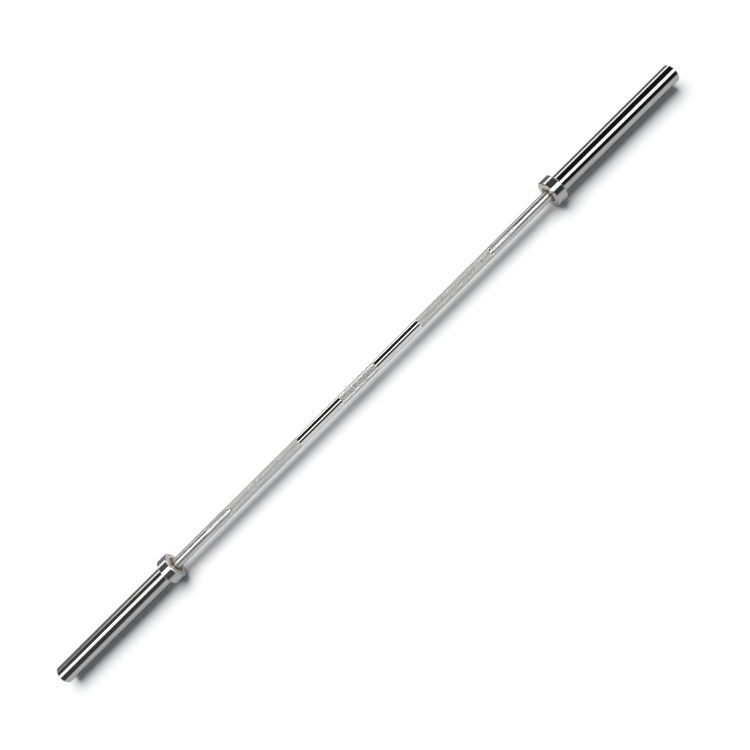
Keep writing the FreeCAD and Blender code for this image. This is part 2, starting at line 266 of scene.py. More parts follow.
def left_copy(piece, name):
    """The same piece on the left, with a mesh of its own, turned half round to face outwards."""
    select_only(piece)
    bpy.ops.object.duplicate(linked=False)
    copy = bpy.context.object
    copy.name = name
    copy.data.name = name
    copy.rotation_euler.z = math.pi
    bpy.ops.object.transform_apply(location=True, rotation=True, scale=True)
    return copy


# Shaft


def mirrored(zone):
    """The same knurled zone on the left of the bar."""
    start, end, depth = zone
    return -end, -start, depth


def knurl_rows(start, end):
    """How many rows of diamonds a zone holds, and the length of one."""
    rows = round((end - start) / KNURL_ROW)
    return rows, (end - start) / rows


def knurl_rings(start, end, depth):
    """Outline points of a knurled zone, at the ends of its rows and the bottom of the cut."""
    rows, row = knurl_rows(start, end)
    return [(start + row * i, CREST_RADIUS - depth) for i in range(rows + 1)]


def shaft_outline():
    """Outline of the shaft: its right half from the centre knurl outwards, and the mirror image."""
    groove_start = SEAL_START - SEAL_CLEARANCE
    groove_end = SEAL_END + SEAL_CLEARANCE
    shoulder = groove_end + SHOULDER_LAND
    ring_groove_end = SHAFT_RING_END + RING_SIDE_PLAY
    half = [
        (CENTRE_KNURL_END + ZONE_BEVEL, SHAFT_RADIUS),
        (SMOOTH_END - ZONE_BEVEL, SHAFT_RADIUS),
        *knurl_rings(*GRIP_KNURL),
        (GRIP_KNURL_END + ZONE_BEVEL, RING_MARK_RADIUS),
        (RING_MARK_END - ZONE_BEVEL, RING_MARK_RADIUS),
        *knurl_rings(*OUTER_KNURL),
        (OUTER_KNURL_END + ZONE_BEVEL, SHAFT_RADIUS),
        (groove_start - FINE_ROUND, SHAFT_RADIUS),
        (groove_start, SHAFT_RADIUS - FINE_ROUND),
        (groove_start, SEAL_GROOVE_RADIUS),
        (groove_end, SEAL_GROOVE_RADIUS),
        (groove_end, SHAFT_RADIUS - FINE_ROUND),
        (groove_end + FINE_ROUND, SHAFT_RADIUS),
        (shoulder - FINE_ROUND, SHAFT_RADIUS),
        (shoulder, SHAFT_RADIUS - FINE_ROUND),
        (shoulder, JOURNAL_RADIUS),
        (SHAFT_RING_FACE, JOURNAL_RADIUS),
        (SHAFT_RING_FACE, RING_GROOVE_RADIUS),
        (ring_groove_end, RING_GROOVE_RADIUS),
        (ring_groove_end, JOURNAL_RADIUS),
        (SHAFT_END - SHAFT_END_CHAMFER, JOURNAL_RADIUS),
        (SHAFT_END, JOURNAL_RADIUS - SHAFT_END_CHAMFER),
        (SHAFT_END, 0),
    ]
    left_half = [(-station, radius) for station, radius in reversed(half)]
    return left_half + knurl_rings(*CENTRE_KNURL) + half


def cut_knurl(start, end, depth):
    """Raise a zone's rows of faces into diamond points.

    Every face is poked and its sides are halved, and the new middles are lifted to the crest."""
    rows, row = knurl_rows(start, end)
    half_row = row / 2
    half_turn = math.tau / KNURL_COUNT / 2

    def place(vertex):
        """Half rows along the zone and half diamonds round the shaft, as whole numbers."""
        angle = math.atan2(vertex.co.y, vertex.co.z)
        return round((vertex.co.x - start) / half_row), round(angle / half_turn)

    def in_zone(vertex):
        return start - half_row / 2 < vertex.co.x < end + half_row / 2

    def on_grid(vertex):
        along, around = place(vertex)
        return along % 2 == 0 and around % 2 == 0

    def is_side(edge):
        """A side of one of the zone's own faces, but not of its first or last ring."""
        first, second = edge.verts
        if not (in_zone(first) and in_zone(second) and on_grid(first) and on_grid(second)):
            return False
        ends = {place(first)[0], place(second)[0]}
        return ends not in ({0}, {2 * rows})

    def is_point(vertex):
        along, around = place(vertex)
        return in_zone(vertex) and 0 < along < 2 * rows and (along + around) % 2 == 1

    pick("FACE", lambda face: start < face.calc_center_median().x < end)
    bpy.ops.mesh.poke()
    pick("EDGE", is_side)
    bpy.ops.mesh.subdivide(number_cuts=1, ngon=False)
    pick("VERT", is_point)
    lift = CREST_RADIUS / (CREST_RADIUS - depth)
    bpy.ops.transform.resize(value=(1, lift, lift), center_override=(0, 0, 0))


def between(start, end):
    """A test for faces between two stations, on both sides of the bar."""
    return lambda face: start < abs(face.calc_center_median().x) < end


def shaft(name):
    """The shaft, with each zone in its own finish: polished, knurled, satin or ground."""
    piece = start_piece(name)
    draw_outline(shaft_outline(), closed=False)
    spin_outline(KNURL_COUNT)
    for zone in (CENTRE_KNURL, GRIP_KNURL, mirrored(GRIP_KNURL), OUTER_KNURL, mirrored(OUTER_KNURL)):
        cut_knurl(*zone)
    assign_finishes(
        between(0, CENTRE_KNURL_END),
        between(SMOOTH_END, GRIP_KNURL_END),
        between(RING_MARK_END, SEAL_START),
        between(SEAL_START, SHAFT_END),
    )
    return finish_piece(piece, KNURL_SHARP_ANGLE)


# Pieces of the right end, in the order in which they go on


def collar(name):
    """The stop collar, bored for the sleeve's spigot, with a lip round the flange and a wider mouth.

    Its rim is polished, its flat faces show the lathe's marks, and its mouth is painted near black as
    painted shade, with darker patches of oil."""

    def in_mouth(face):
        middle = face.calc_center_median()
        return middle.x < SLEEVE_START and middle.yz.length < MOUTH_RADIUS

    def is_flat(face):
        return abs(face.normal.x) > FLAT_FACE and not in_mouth(face)

    return turned_piece(name, (
        (RIM_FLOOR, RECESS_RADIUS),
        (RIM_FLOOR, MOUTH_RADIUS),
        (COLLAR_FACE, MOUTH_RADIUS),
        (COLLAR_FACE, COLLAR_RADIUS - COLLAR_CHAMFER),
        (COLLAR_FACE + COLLAR_CHAMFER, COLLAR_RADIUS),
        (COLLAR_STOP - COLLAR_CHAMFER, COLLAR_RADIUS),
        (COLLAR_STOP, COLLAR_RADIUS - COLLAR_CHAMFER),
        (COLLAR_STOP, SPIGOT_RADIUS),
        (SLEEVE_START, SPIGOT_RADIUS),
        (SLEEVE_START, RECESS_RADIUS),
    ), EDGE_ROUND, finishes=(is_flat, in_mouth))


def sleeve(name):
    """The sleeve: spigot, plate surface, bushing seats, ring chamber and end cap seat."""
    chamber = OUTBOARD_FACE - FLANGE_THICKNESS
    outboard_seat = OUTBOARD_START - BUSHING_RELIEF
    inboard_seat = INBOARD_END + BUSHING_RELIEF
    groove_end = CAP_RING_END + RING_SIDE_PLAY
    return turned_piece(name, (
        (SLEEVE_START, BUSHING_RADIUS),
        (SLEEVE_START, SPIGOT_RADIUS),
        (COLLAR_STOP, SPIGOT_RADIUS),
        (COLLAR_STOP, SLEEVE_RADIUS),
        (SLEEVE_END - SLEEVE_CHAMFER, SLEEVE_RADIUS),
        (SLEEVE_END, SLEEVE_RADIUS - SLEEVE_CHAMFER),
        (SLEEVE_END, CAP_SEAT_RADIUS),
        (groove_end, CAP_SEAT_RADIUS),
        (groove_end, CAP_GROOVE_RADIUS),
        (CAP_RING_FACE, CAP_GROOVE_RADIUS),
        (CAP_RING_FACE, CAP_SEAT_RADIUS),
        (CAP_SEAT, CAP_SEAT_RADIUS),
        (CAP_SEAT, RECESS_RADIUS),
        (chamber, RECESS_RADIUS),
        (chamber, BUSHING_RADIUS),
        (outboard_seat, BUSHING_RADIUS),
        (outboard_seat, SLEEVE_BORE),
        (inboard_seat, SLEEVE_BORE),
        (inboard_seat, BUSHING_RADIUS),
    ), EDGE_ROUND)


def inboard_bushing(name):
    """The bronze bushing at the collar, its flange towards the bar's middle, with a rim round the seal.

    The flange's face lies deep in the collar's mouth and is painted near black there instead of bronze:
    painted shade, with darker patches of oil."""

    def in_mouth(face):
        middle = face.calc_center_median()
        return middle.x < SLEEVE_START and middle.yz.length > RIM_RADIUS

    return turned_piece(name, (
        (RIM_FLOOR, BUSHING_BORE),
        (RIM_FLOOR, RIM_BORE),
        (RIM_FACE, RIM_BORE),
        (RIM_FACE, RIM_RADIUS),
        (RIM_FLOOR, RIM_RADIUS),
        (RIM_FLOOR, FLANGE_RADIUS),
        (SLEEVE_START, FLANGE_RADIUS),
        (SLEEVE_START, BUSHING_RADIUS),
        (INBOARD_END, BUSHING_RADIUS),
        (INBOARD_END, BUSHING_BORE),
    ), FINE_ROUND, SMALL_STEPS, finishes=(in_mouth,))


def outboard_bushing(name):
    """The bronze bushing at the sleeve's end, its flange outwards."""
    flange = OUTBOARD_FACE - FLANGE_THICKNESS
    return turned_piece(name, (
        (OUTBOARD_START, BUSHING_BORE),
        (OUTBOARD_START, BUSHING_RADIUS),
        (flange, BUSHING_RADIUS),
        (flange, FLANGE_RADIUS),
        (OUTBOARD_FACE, FLANGE_RADIUS),
        (OUTBOARD_FACE, BUSHING_BORE),
    ), FINE_ROUND, SMALL_STEPS)


def washer(name, start, end):
    """A flat washer on the journal."""
    return turned_piece(name, (
        (start, WASHER_BORE),
        (start, WASHER_RADIUS),
        (end, WASHER_RADIUS),
        (end, WASHER_BORE),
    ), FINE_ROUND, SMALL_STEPS)


def thrust_washer(name):
    """The washer that runs on the outboard bushing's flange."""
    return washer(name, THRUST_FACE, THRUST_END)


def shim_washer(name):
    """The thin washer that sets the end float."""
    return washer(name, SHIM_FACE, SHIM_END)


def end_cap(name):
    """The disc that closes the sleeve, dished inside its rim."""
    dish_radius = CAP_RADIUS - CAP_RIM
    return turned_piece(name, (
        (CAP_SEAT, 0),
        (CAP_SEAT, CAP_RADIUS),
        (CAP_FACE - CAP_CHAMFER, CAP_RADIUS),
        (CAP_FACE, CAP_RADIUS - CAP_CHAMFER),
        (CAP_FACE, dish_radius),
        (CAP_FACE - CAP_DISH, dish_radius - CAP_DISH),
        (CAP_FACE - CAP_DISH, 0),
    ), FINE_ROUND, closed=False)


def shaft_seal(name):
    """The dust ring: rubber of round section in the shaft's groove."""
    middle = (SEAL_START + SEAL_END) / 2
    section = (SEAL_END - SEAL_START) / 2
    piece = start_piece(name)
    bpy.ops.mesh.delete(type="VERT")
    bpy.ops.mesh.primitive_circle_add(
        vertices=EYE_STEPS,
        radius=section,
        location=(middle, 0, SEAL_RADIUS - section),
        rotation=(math.pi / 2, 0, 0),
        calc_uvs=False,
    )
    spin_outline(SMALL_STEPS)
    return finish_piece(piece)


def round_tool(place, length, diameter):
    """A round tool that stands along the bar, to add to a stamped ring or to cut it."""
    bpy.ops.object.select_all(action="DESELECT")
    bpy.ops.mesh.primitive_cylinder_add(
        vertices=EYE_STEPS,
        radius=diameter / 2,
        depth=length,
        location=place,
        rotation=(0, math.pi / 2, 0),
    )
    return bpy.context.object


def square_tool(place, sides):
    """A square tool, to cut a stamped ring."""
    bpy.ops.object.select_all(action="DESELECT")
    bpy.ops.mesh.primitive_cube_add(size=1, location=place, scale=sides)
    return bpy.context.object


def work_ring(ring, operation, cutter):
    """Join a tool's shape to a ring or cut it out, and put the tool away."""
    apply_modifier(ring, "BOOLEAN", operation=operation, object=cutter, solver="EXACT")
    bpy.data.objects.remove(cutter)


def stamped_ring(name, start, end, inner, outer, lugs, lug_height):
    """A retaining ring: a band with a gap at its top, and a lug with an eye on each side of the gap."""
    middle = (start + end) / 2
    thickness = end - start
    cut_through = thickness + OVERRUN
    half_spacing = lugs["spacing"] / 2
    lug_places = [(middle, side, lug_height) for side in (-half_spacing, half_spacing)]
    gap_height = lugs["diameter"] + outer
    piece = start_piece(name)
    draw_outline(((start, inner), (start, outer), (end, outer), (end, inner)), closed=True)
    spin_outline(LARGE_STEPS)
    finish_piece(piece)
    for place in lug_places:
        work_ring(piece, "UNION", round_tool(place, thickness, lugs["diameter"]))
    gap = square_tool((middle, 0, gap_height / 2), (cut_through, lugs["gap"], gap_height))
    work_ring(piece, "DIFFERENCE", gap)
    for place in lug_places:
        work_ring(piece, "DIFFERENCE", round_tool(place, cut_through, lugs["eye"]))
    apply_modifier(piece, "BEVEL", width=STAMPED_ROUND, segments=STAMPED_SEGMENTS, limit_method="ANGLE")
    edit(piece)
    return finish_piece(piece)


def shaft_retaining_ring(name):
    """The ring in the shaft's groove, its lugs outside its band."""
    return stamped_ring(
        name, SHAFT_RING_FACE, SHAFT_RING_END, SHAFT_RING_INNER, SHAFT_RING_OUTER,
        SHAFT_RING_LUGS, SHAFT_RING_LUG_HEIGHT,
    )


def cap_retaining_ring(name):
    """The ring in the sleeve's groove, its lugs inside its band."""
    return stamped_ring(
        name, CAP_RING_FACE, CAP_RING_END, CAP_RING_INNER, CAP_RING_RADIUS,
        CAP_RING_LUGS, CAP_RING_LUG_HEIGHT,
    )


# Finishes: the noise of tool lines, smudges and scuffs, and where smudges and scuffs start and are full
TOOL_LINE_NOISE = {"Scale": 1.0, "Detail": 3.0, "Roughness": 0.65}
SMUDGE_NOISE = {"Detail": 5.0, "Roughness": 0.6}
SMUDGE_START = 0.42
SMUDGE_FULL = 0.72
SCUFF_NOISE = {"Scale": 1.0, "Detail": 2.0, "Roughness": 0.5}
SCUFF_START = 0.60
SCUFF_FULL = 0.74
SCUFFS_PER_METRE = (22.0, 1100.0, 1100.0)

# Sizes of smudges and heights of tool lines, in metres
CHROME_SMUDGE = 0.035
KNURL_SMUDGE = 0.02
STEEL_SMUDGE = 0.008
BRONZE_SMUDGE = 0.006
RUBBER_SMUDGE = 0.004
CHROME_LINE_HEIGHT = 0.00005
STEEL_LINE_HEIGHT = 0.00006
BRONZE_LINE_HEIGHT = 0.00008

# Colours, clean and dulled or oiled
CHROME = (0.50, 0.50, 0.495, 1)
CHROME_DULLED = (0.44, 0.44, 0.43, 1)
BRIGHT_CHROME = (0.86, 0.86, 0.855, 1)
BRIGHT_DULLED = (0.78, 0.78, 0.77, 1)
SATIN_CHROME = (0.68, 0.68, 0.675, 1)
SATIN_DULLED = (0.60, 0.60, 0.59, 1)
TURNED_FACE = (0.66, 0.65, 0.62, 1)
TURNED_FACE_DULLED = (0.57, 0.555, 0.525, 1)
KNURL_CUT_SHADE = (0.60, 0.60, 0.59, 1)
KNURL_POINT = (0.75, 0.75, 0.74, 1)
GROUND_STEEL = (0.50, 0.49, 0.47, 1)
GROUND_OILED = (0.36, 0.34, 0.31, 1)
WASHER_STEEL = (0.55, 0.54, 0.52, 1)
WASHER_OILED = (0.38, 0.36, 0.33, 1)
SPRING_STEEL = (0.10, 0.10, 0.105, 1)
SPRING_OILED = (0.05, 0.048, 0.046, 1)
# Painted shade: near black for the collar's mouth and the bushing's face inside it, with darker patches
# of oil
MOUTH_PAINTED_SHADE = (0.026, 0.023, 0.02, 1)
MOUTH_PAINTED_SHADE_OILED = (0.012, 0.011, 0.009, 1)
BRONZE = (0.78, 0.52, 0.20, 1)
BRONZE_OILED = (0.50, 0.31, 0.11, 1)
RUBBER = (0.012, 0.012, 0.012, 1)
RUBBER_DUSTY = (0.045, 0.044, 0.042, 1)

# Roughness and shine of rubber, and how much a smudge hides the wear of the knurling's points
RUBBER_GLOSS = (0.42, 0.72)
RUBBER_SHINE = 0.35
SMUDGED_WEAR = 0.75

# Places of the sockets of a node that mixes colours
MIX_MASK = 0
MIX_FROM = 6
MIX_TO = 7
MIX_RESULT = 2


def feed(tree, socket, value):
    """Link a node's output to a socket, or set the socket's own value."""
    if isinstance(value, bpy.types.NodeSocket):
        tree.links.new(value, socket)
    else:
        socket.default_value = value


def add_node(tree, kind, inputs, **settings):
    """A new node with its settings made and its inputs fed."""
    node = tree.nodes.new(kind)
    for setting, value in settings.items():
        setattr(node, setting, value)
    for socket, value in inputs.items():
        feed(tree, node.inputs[socket], value)
    return node


def calculate(tree, operation, *values):
    """The output of a math node."""
    return add_node(tree, "ShaderNodeMath", dict(enumerate(values)), operation=operation).outputs[0]


def rescale(tree, value, low, high, to_low=0.0, to_high=1.0):
    """A value taken smoothly from one range to another and held there."""
    inputs = {"Value": value, "From Min": low, "From Max": high, "To Min": to_low, "To Max": to_high}
    node = add_node(tree, "ShaderNodeMapRange", inputs, interpolation_type="SMOOTHSTEP")
    return node.outputs["Result"]


def fade(tree, mask, low, high):
    """A value that goes smoothly from one to another with a mask."""
    return rescale(tree, mask, 0.0, 1.0, low, high)


def tint(tree, mask, low, high):
    """A colour that goes from one to another with a mask."""
    inputs = {MIX_MASK: mask, MIX_FROM: low, MIX_TO: high}
    return add_node(tree, "ShaderNodeMix", inputs, data_type="RGBA").outputs[MIX_RESULT]


def new_group(name, inputs, outputs):
    """A shader node group with its sockets made: returns it, its inputs and its output node."""
    group = bpy.data.node_groups.new(name, "ShaderNodeTree")
    for socket, kind in inputs.items():
        group.interface.new_socket(name=socket, in_out="INPUT", socket_type=kind)
    for socket in outputs:
        group.interface.new_socket(name=socket, in_out="OUTPUT", socket_type="NodeSocketFloat")
    return group, group.nodes.new("NodeGroupInput").outputs, group.nodes.new("NodeGroupOutput").inputs


def axis_parts(tree, position):
    """Station along the bar and distance from its axis, at a point of a surface."""
    parts = add_node(tree, "ShaderNodeSeparateXYZ", {0: position}).outputs
    across = add_node(tree, "ShaderNodeCombineXYZ", {"Y": parts["Y"], "Z": parts["Z"]}).outputs[0]
    radius = add_node(tree, "ShaderNodeVectorMath", {0: across}, operation="LENGTH").outputs["Value"]
    return parts["X"], radius


def turning_marks_group():
    """Fine tool lines: rings along a turned cylinder, circles on a turned face."""
    group, given, made = new_group(
        "turning_marks",
        {"Position": "NodeSocketVector", "Spacing": "NodeSocketFloat"},
        ("Height",),
    )
    station, radius = axis_parts(group, given["Position"])
    along = calculate(group, "DIVIDE", calculate(group, "ADD", station, radius), given["Spacing"])
    lines = add_node(group, "ShaderNodeTexNoise", {"W": along, **TOOL_LINE_NOISE}, noise_dimensions="1D")
    feed(group, made["Height"], lines.outputs["Fac"])
    return group


def handling_group():
    """Traces of use: cloudy smudges, and fine scuffs that run along the bar."""
    group, given, made = new_group(
        "handling",
        {"Position": "NodeSocketVector", "Smudge Size": "NodeSocketFloat"},
        ("Smudge", "Scuff"),
    )
    cloud_scale = calculate(group, "DIVIDE", 1.0, given["Smudge Size"])
    clouds = add_node(
        group, "ShaderNodeTexNoise",
        {"Vector": given["Position"], "Scale": cloud_scale, **SMUDGE_NOISE},
    )
    feed(group, made["Smudge"], rescale(group, clouds.outputs["Fac"], SMUDGE_START, SMUDGE_FULL))
    drawn = add_node(
        group, "ShaderNodeMapping",
        {"Vector": given["Position"], "Scale": SCUFFS_PER_METRE},
    )
    streaks = add_node(group, "ShaderNodeTexNoise", {"Vector": drawn.outputs[0], **SCUFF_NOISE})
    feed(group, made["Scuff"], rescale(group, streaks.outputs["Fac"], SCUFF_START, SCUFF_FULL))
    return group


def knurl_points_group():
    """How high a point stands on the knurling: 0 in the cuts, 1 on the points of the diamonds."""
    group, given, made = new_group(
        "knurl_points",
        {"Position": "NodeSocketVector", "Depth": "NodeSocketFloat"},
        ("Point",),
    )
    _, radius = axis_parts(group, given["Position"])
    bottom = calculate(group, "SUBTRACT", CREST_RADIUS, given["Depth"])
    feed(group, made["Point"], rescale(group, radius, bottom, CREST_RADIUS))
    return group


TURNING_MARKS = turning_marks_group()
HANDLING = handling_group()
KNURL_POINTS = knurl_points_group()


def place_group(tree, group, **inputs):
    """A node group in a material, reading Object coordinates."""
    position = add_node(tree, "ShaderNodeTexCoord", {}).outputs["Object"]
    node = add_node(tree, "ShaderNodeGroup", {}, node_tree=group)
    feed(tree, node.inputs["Position"], position)
    for socket, value in inputs.items():
        feed(tree, node.inputs[socket.replace("_", " ")], value)
    return node.outputs


def new_material(name, **constants):
    """A material with constant sockets of its Principled shader set: returns it, its tree and shader."""
    material = bpy.data.materials.new(name)
    material.use_nodes = True
    tree = material.node_tree
    shader = tree.nodes["Principled BSDF"]
    for socket, value in constants.items():
        shader.inputs[socket.replace("_", " ")].default_value = value
    return material, tree, shader


def cut_lines(tree, shader, spacing, strength, height):
    """Let fine tool lines of this spacing and height bend the surface's shading."""
    lines = place_group(tree, TURNING_MARKS, Spacing=spacing)
    inputs = {"Height": lines["Height"], "Strength": strength, "Distance": height}
    bump = add_node(tree, "ShaderNodeBump", inputs)
    feed(tree, shader.inputs["Normal"], bump.outputs["Normal"])


def chrome(name, colour, dulled, gloss, spacing, marks, haze=0.0):
    """Chrome plate: tool lines under the plating, smudges that dull it, and scuffs along the bar.

    gloss is the roughness where the plate is clean, smudged and scuffed, spacing and marks are the
    distance and strength of the tool lines, and haze is a film of dust."""
    clean, smudged, scuffed = gloss
    material, tree, shader = new_material(name, Metallic=1.0 - haze)
    traces = place_group(tree, HANDLING, Smudge_Size=CHROME_SMUDGE)
    cloudy = fade(tree, traces["Smudge"], clean, smudged)
    scuffs = fade(tree, traces["Scuff"], 0.0, scuffed - clean)
    feed(tree, shader.inputs["Roughness"], calculate(tree, "ADD", cloudy, scuffs))
    feed(tree, shader.inputs["Base Color"], tint(tree, traces["Smudge"], colour, dulled))
    cut_lines(tree, shader, spacing, marks, CHROME_LINE_HEIGHT)
    return material


def knurled_chrome(name, depth, gloss):
    """Satin chrome on knurling: dull down in the cuts and painted darker there as shade, brighter where
    hands polish the points.

    gloss is the roughness in the cuts and on the points."""
    in_cuts, on_points = gloss
    material, tree, shader = new_material(name, Metallic=1.0)
    points = place_group(tree, KNURL_POINTS, Depth=depth)
    traces = place_group(tree, HANDLING, Smudge_Size=KNURL_SMUDGE)
    wear = fade(tree, traces["Smudge"], 1.0, SMUDGED_WEAR)
    worn_points_and_cut_shade = calculate(tree, "MULTIPLY", points["Point"], wear)
    # Partly real wear on the points, partly painted shade darkening the cuts
    feed(tree, shader.inputs["Base Color"], tint(tree, worn_points_and_cut_shade, KNURL_CUT_SHADE, KNURL_POINT))
    feed(tree, shader.inputs["Roughness"], fade(tree, worn_points_and_cut_shade, in_cuts, on_points))
    return material


def rubber(name):
    """Black rubber with a dusty bloom."""
    clean, dusty = RUBBER_GLOSS
    material, tree, shader = new_material(name, Metallic=0.0, Specular_IOR_Level=RUBBER_SHINE)
    traces = place_group(tree, HANDLING, Smudge_Size=RUBBER_SMUDGE)
    feed(tree, shader.inputs["Base Color"], tint(tree, traces["Smudge"], RUBBER, RUBBER_DUSTY))
    feed(tree, shader.inputs["Roughness"], fade(tree, traces["Smudge"], clean, dusty))
    return material


def bare_metal(
    name, colour, oiled, gloss, spacing, marks,
    smudge=STEEL_SMUDGE, height=STEEL_LINE_HEIGHT,
):
    """Steel without plating, or bronze: tool lines, and a film of oil that darkens it in patches.

    gloss is the roughness where the metal is clean and oiled, and spacing, marks and height are the
    distance, strength and height of the tool lines."""
    clean, smeared = gloss
    material, tree, shader = new_material(name, Metallic=1.0)
    traces = place_group(tree, HANDLING, Smudge_Size=smudge)
    feed(tree, shader.inputs["Base Color"], tint(tree, traces["Smudge"], colour, oiled))
    feed(tree, shader.inputs["Roughness"], fade(tree, traces["Smudge"], clean, smeared))
    cut_lines(tree, shader, spacing, marks, height)
    return material


polished_chrome = chrome(
    "shaft_polished_chrome", BRIGHT_CHROME, BRIGHT_DULLED,
    gloss=(0.05, 0.08, 0.12), spacing=0.00020, marks=0.06,
)
satin_chrome = chrome(
    "shaft_satin_chrome", SATIN_CHROME, SATIN_DULLED,
    gloss=(0.29, 0.35, 0.38), spacing=0.00018, marks=0.25,
)
centre_knurl_chrome = knurled_chrome("centre_knurl_chrome", CENTRE_KNURL_DEPTH, gloss=(0.46, 0.40))
grip_knurl_chrome = knurled_chrome("grip_knurl_chrome", GRIP_KNURL_DEPTH, gloss=(0.66, 0.58))
ground_steel = bare_metal(
    "journal_ground_steel", GROUND_STEEL, GROUND_OILED,
    gloss=(0.22, 0.12), spacing=0.00012, marks=0.2,
)
sleeve_chrome = chrome(
    "sleeve_chrome", CHROME, CHROME_DULLED,
    gloss=(0.035, 0.07, 0.13), spacing=0.00022, marks=0.05,
)
collar_chrome = chrome(
    "collar_chrome", CHROME, CHROME_DULLED,
    gloss=(0.08, 0.12, 0.17), spacing=0.00030, marks=0.12, haze=0.07,
)
collar_face_chrome = chrome(
    "collar_face_chrome", TURNED_FACE, TURNED_FACE_DULLED,
    gloss=(0.30, 0.36, 0.40), spacing=0.00060, marks=0.5, haze=0.45,
)
# Painted shade: the collar's mouth and the bushing's face inside it are coloured near black
mouth_painted_shade = bare_metal(
    "mouth_painted_shade_steel", MOUTH_PAINTED_SHADE, MOUTH_PAINTED_SHADE_OILED,
    gloss=(0.45, 0.30), spacing=0.00040, marks=0.3,
)
cap_chrome = chrome(
    "cap_chrome", CHROME, CHROME_DULLED,
    gloss=(0.12, 0.18, 0.20), spacing=0.00035, marks=0.45,
)
bushing_bronze = bare_metal(
    "bushing_bronze", BRONZE, BRONZE_OILED,
    gloss=(0.34, 0.20), spacing=0.00025, marks=0.5, smudge=BRONZE_SMUDGE, height=BRONZE_LINE_HEIGHT,
)
seal_rubber = rubber("seal_rubber")
washer_steel = bare_metal(
    "washer_steel", WASHER_STEEL, WASHER_OILED,
    gloss=(0.28, 0.16), spacing=0.00030, marks=0.35,
)
ring_steel = bare_metal(
    "ring_spring_steel", SPRING_STEEL, SPRING_OILED,
    gloss=(0.38, 0.26), spacing=0.00050, marks=0.2,
)


# The object


def dress(piece, node, body):
    """A finished piece moves with a body and stands in for a node, whose part is hidden."""
    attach(piece, body)
    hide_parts(node)


def coated(make, name, materials):
    """A finished piece with its materials in their places."""
    piece = make(f"{name}_finished")
    for material in materials:
        piece.data.materials.append(material)
    return piece


SHAFT_FINISHES = (polished_chrome, centre_knurl_chrome, grip_knurl_chrome, satin_chrome, ground_steel)
bar = coated(shaft, "shaft", SHAFT_FINISHES)
dress(bar, "shaft", "bar")

END_PIECES = (
    # maker, name, whether it turns with the sleeve, materials, slot
    (shaft_seal, "shaft_seal", False, (seal_rubber,), "seal_rubber"),
    (inboard_bushing, "inboard_bushing", True, (bushing_bronze, mouth_painted_shade), "bushing_bronze"),
    (collar, "collar", True, (collar_chrome, collar_face_chrome, mouth_painted_shade), "collar_chrome"),
    (sleeve, "sleeve", True, (sleeve_chrome,), "sleeve_chrome"),
    (outboard_bushing, "outboard_bushing", True, (bushing_bronze,), "bushing_bronze"),
    (thrust_washer, "thrust_washer", False, (washer_steel,), "washer_steel"),
    (shim_washer, "shim_washer", False, (washer_steel,), "washer_steel"),
    (shaft_retaining_ring, "shaft_retaining_ring", False, (ring_steel,), "ring_spring_steel"),
    (end_cap, "end_cap", True, (cap_chrome,), "cap_chrome"),
    (cap_retaining_ring, "cap_retaining_ring", True, (ring_steel,), "ring_spring_steel"),
)

for make, name, turns, materials, slot in END_PIECES:
    right = coated(make, f"right_{name}", materials)
    left = left_copy(right, f"left_{name}_finished")
    for piece, side in ((right, "right"), (left, "left")):
        dress(piece, f"{side}_{name}", f"{side}_end" if turns else "bar")


# Floor: a white table top that the collars stand on

FLOOR_LENGTH = 3.6
FLOOR_FRONT = 2.0
FLOOR_BACK = 0.11
FLOOR_COLOUR = (0.90, 0.90, 0.90, 1)
# Painted shade in reflections: the floor's colour as metal mirrors it, darker than its white
FLOOR_MIRRORED_SHADE = (0.68, 0.68, 0.68, 1)
FLOOR_ROUGHNESS = 0.9


def floor():
    """The table top under the bar, deeper in front of it than behind."""
    bpy.ops.object.select_all(action="DESELECT")
    depth = FLOOR_FRONT + FLOOR_BACK
    middle = (FLOOR_BACK - FLOOR_FRONT) / 2
    bpy.ops.mesh.primitive_plane_add(size=1, location=(0, middle, -COLLAR_RADIUS))
    piece = bpy.context.object
    piece.name = "floor"
    piece.scale = (FLOOR_LENGTH, depth, 1)
    bpy.ops.object.transform_apply(location=True, rotation=True, scale=True)
    material, tree, shader = new_material(
        "floor_white", Roughness=FLOOR_ROUGHNESS, Specular_IOR_Level=0.0,
    )
    # Painted reflection shade: mirrored rays see the floor in a darker grey than camera and diffuse rays
    rays = add_node(tree, "ShaderNodeLightPath", {}).outputs
    white = tint(tree, rays["Is Glossy Ray"], FLOOR_COLOUR, FLOOR_MIRRORED_SHADE)
    feed(tree, shader.inputs["Base Color"], white)
    piece.data.materials.append(material)


floor()

# Studio light. Angles go round the bar's axis from straight up to the back, other places along the bar.

KEY_TILT = math.radians(21)
KEY_SPREAD = math.radians(58)
KEY_STRENGTH = 3.40
AMBIENT = (0.128, 0.133, 0.142, 1)
BACKDROP = (1.0, 1.0, 1.0, 1)
SOFT_EDGE = math.radians(4)

# The studio's middle, and how far the lights change from there towards the ends
MIDDLE = -0.05
MIDDLE_HALF = 0.10
LIGHTS_REACH = 0.20
FRONT_REACH = 0.48

# Soft box over the camera
BOX_CENTRE = math.radians(-21.5)
BOX_SKEW = math.radians(15.6)
BOX_HALF = math.radians(13.5)
BOX_MIDDLE_HALF = math.radians(7.5)
BOX_LEVEL = 3.4
BOX_MIDDLE_LEVEL = 2.0

# Strip behind the bar, dimmer on the left
STRIP_CENTRE = math.radians(56.4)
STRIP_MIDDLE_CENTRE = math.radians(70)
STRIP_SKEW = math.radians(-5)
STRIP_HALF = math.radians(8.5)
STRIP_LEVEL = 2.3
STRIP_DIM = -0.50
STRIP_FULL = -0.36
STRIP_LEFT = 0.25

